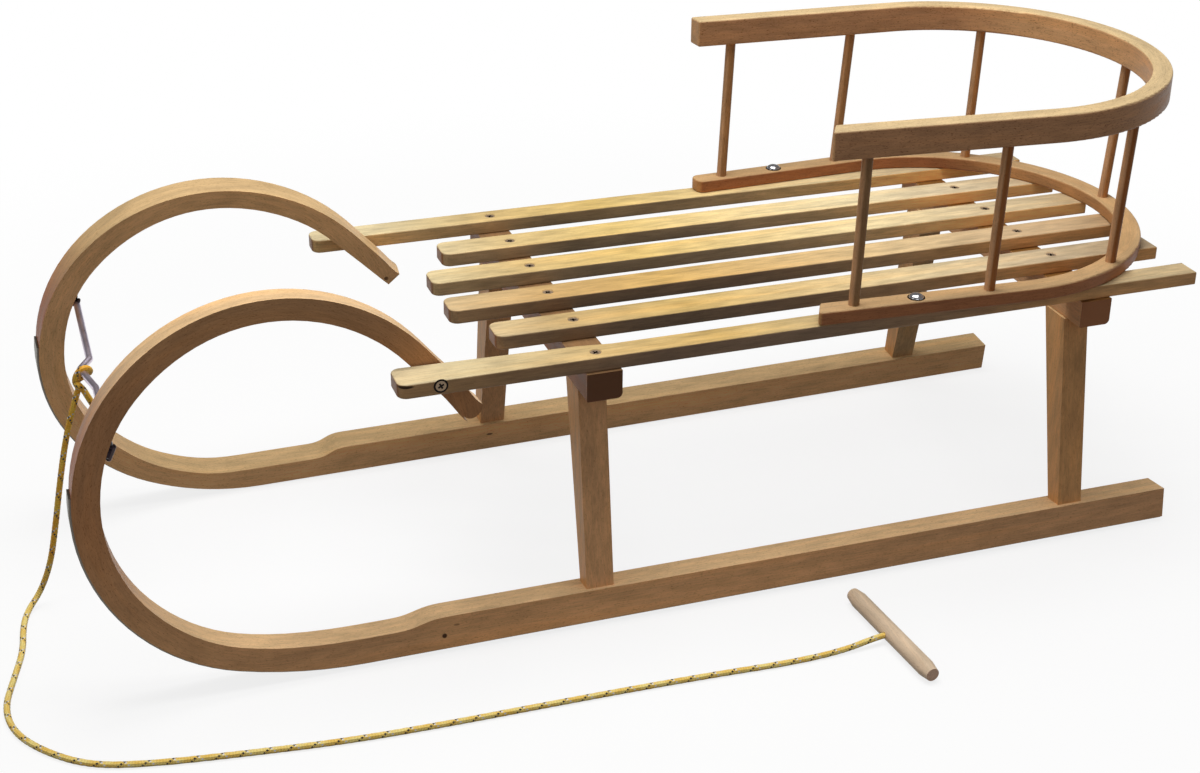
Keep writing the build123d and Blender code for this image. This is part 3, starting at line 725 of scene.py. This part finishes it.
# the knot: up from the cord, over the bracket's bend, round behind and out as a short tail
KNOT_THICKNESS = 0.0062
KNOT_FINENESS = 16
KNOT_ROUTE = [
    (0.5352, -0.0020, 0.2240), (0.5382, 0.0010, 0.2300), (0.5378, 0.0030, 0.2380),
    (0.5335, 0.0045, 0.2450), (0.5280, 0.0035, 0.2462), (0.5245, -0.0005, 0.2420),
    (0.5240, -0.0060, 0.2370), (0.5290, -0.0080, 0.2330), (0.5345, -0.0050, 0.2320),
    (0.5378, 0.0010, 0.2318), (0.5362, 0.0064, 0.2312), (0.5328, 0.0072, 0.2275),
    (0.5303, 0.0066, 0.2215), (0.5278, 0.0060, 0.2150), (0.5250, 0.0055, 0.2085),
]
knot, _ = braided("knot_braided", KNOT_ROUTE, KNOT_FINENESS, KNOT_THICKNESS)
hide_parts("cord_knot")
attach(knot, "root")
rope = rope_finish("rope_braid")
for piece in (cord, knot):
    give(piece, rope)


# ------------------------------------------------------------------ floor and light
SHADOW_REACH = (0.35, 1.4)        # metres from the middle, where the sled's shadow fades out
FLOOR_GLOW = (0.80, 1.0)          # how much of the floor is plain white, there


def make_floor():
    """A floor that is white with a soft shadow to the camera, and dim to the sled."""
    mesh = bpy.data.meshes.new("floor")
    shape = bmesh.new()
    bmesh.ops.create_grid(shape, x_segments=1, y_segments=1, size=30.0)
    shape.to_mesh(mesh)
    shape.free()
    floor = show("floor", mesh)
    finish = Finish("studio_floor", Roughness=0.9, Specular_IOR_Level=0.0,
                    Base_Color=(0.95, 0.95, 0.95, 1))
    white = finish.node("ShaderNodeEmission", None, {"Color": (1, 1, 1, 1), "Strength": 1.0})
    dim = finish.node("ShaderNodeBsdfDiffuse", None, {"Color": (0.16, 0.155, 0.15, 1)})
    rays = finish.node("ShaderNodeLightPath").socket.node
    seen = Value(finish, rays.outputs["Is Camera Ray"])
    mirrored = Value(finish, rays.outputs["Is Glossy Ray"])
    glow = finish.step(finish.length(finish.place), *SHADOW_REACH, *FLOOR_GLOW)
    lit = finish.node("ShaderNodeMixShader", None,
                      {0: glow, 1: Value(finish, finish.shader.outputs[0]), 2: white})
    chosen = finish.node("ShaderNodeMixShader", None,
                         {0: seen.larger(mirrored), 1: dim, 2: lit})
    output = finish.tree.nodes["Material Output"]
    finish.tree.links.new(chosen.socket, output.inputs["Surface"])
    floor.data.materials.append(finish.material)


def make_world():
    """Dim soft light all round, and plain white behind."""
    world = bpy.data.worlds.new("studio")
    scene.world = world
    world.use_nodes = True
    tree = world.node_tree
    plain = tree.nodes["Background"]
    plain.inputs["Color"].default_value = (1.0, 0.98, 0.96, 1)
    plain.inputs["Strength"].default_value = 0.16
    white = tree.nodes.new("ShaderNodeBackground")
    white.inputs["Color"].default_value = (1, 1, 1, 1)
    rays = tree.nodes.new("ShaderNodeLightPath")
    either = tree.nodes.new("ShaderNodeMath")
    either.operation = "MAXIMUM"
    mix = tree.nodes.new("ShaderNodeMixShader")
    for source, target in (
            (rays.outputs["Is Camera Ray"], either.inputs[0]),
            (rays.outputs["Is Transmission Ray"], either.inputs[1]),
            (either.outputs[0], mix.inputs[0]), (plain.outputs[0], mix.inputs[1]),
            (white.outputs[0], mix.inputs[2]),
            (mix.outputs[0], tree.nodes["World Output"].inputs["Surface"])):
        tree.links.new(source, target)


def make_lamp(name, place, target, size, power):
    """A soft rectangular lamp that points at a target."""
    lamp = bpy.data.lights.new(name, "AREA")
    lamp.shape = "RECTANGLE"
    lamp.size, lamp.size_y = size
    lamp.energy = power
    aim = (Vector(target) - Vector(place)).to_track_quat("-Z", "Y").to_matrix().to_4x4()
    show(name, lamp).matrix_world = Matrix.Translation(place) @ aim


make_floor()
make_world()
make_lamp("lamp_overhead", (-0.05, -0.12, 2.1), (0.0, 0.0, 0.2), (1.6, 1.2), 39)
make_lamp("lamp_front", (2.4, 0.3, 1.5), (0.2, 0.0, 0.2), (1.4, 1.2), 5)
make_lamp("lamp_side", (0.15, 2.4, 1.2), (0.1, 0.0, 0.15), (1.6, 1.2), 4.5)
scene.view_settings.view_transform = "Standard"
